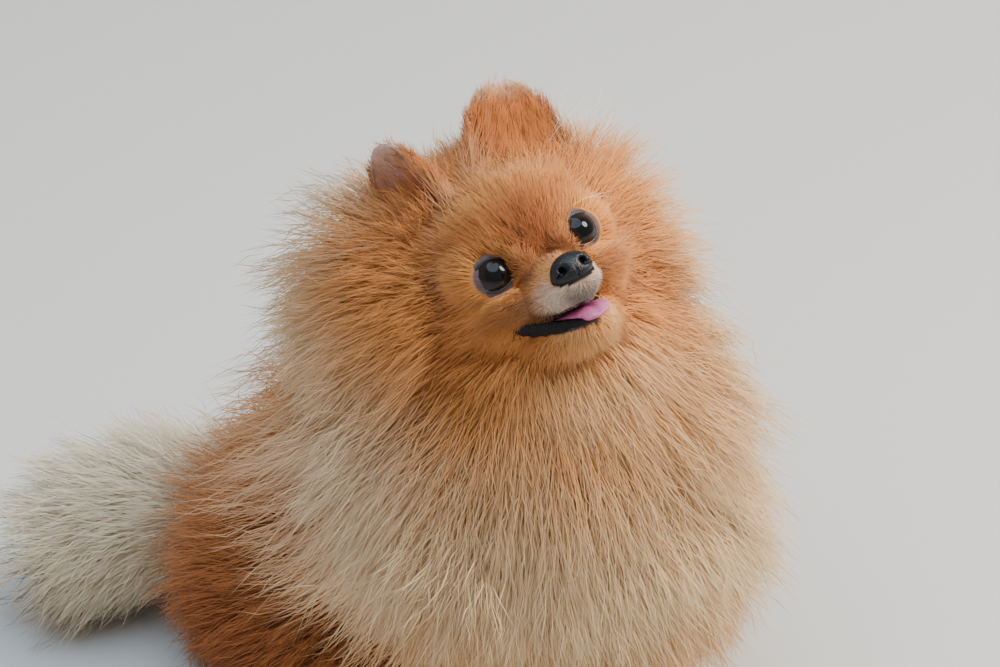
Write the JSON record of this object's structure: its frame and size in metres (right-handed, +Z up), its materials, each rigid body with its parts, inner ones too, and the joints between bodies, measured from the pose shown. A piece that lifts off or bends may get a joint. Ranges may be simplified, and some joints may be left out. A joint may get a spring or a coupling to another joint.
{
  "type": "pomeranian",
  "caption": "Life-size still model of a sitting pomeranian with a full mane and plumed tail, its head turned and tipped to look up with the mouth a little open.",
  "frame": {"origin": "on the floor, under the middle of the model's box", "axes": "+Z up, -Y the way the chest faces, +X the dog's left"},
  "size_m": [0.2338, 0.3596, 0.278],
  "materials": {
    "coat_orange": "long soft hair",
    "coat_cream": "long soft hair",
    "coat_red": "long soft hair",
    "nose_black": "moist, finely pebbled",
    "eye_black": "wet gloss",
    "tongue_pink": "moist"
  },
  "bodies": {
    "root": {"neck": "coat_orange", "torso": "coat_red", "foreleg_left": "coat_cream", "foreleg_right": "coat_cream", "hindleg_left": "coat_red", "hindleg_right": "coat_red", "tail": "coat_cream", "head": "coat_orange", "jaw": "coat_cream", "nose": "nose_black", "tongue": "tongue_pink", "eye_left": "eye_black", "eye_right": "eye_black", "ear_left": "coat_orange", "ear_right": "coat_orange"}
  },
  "joints": []
}
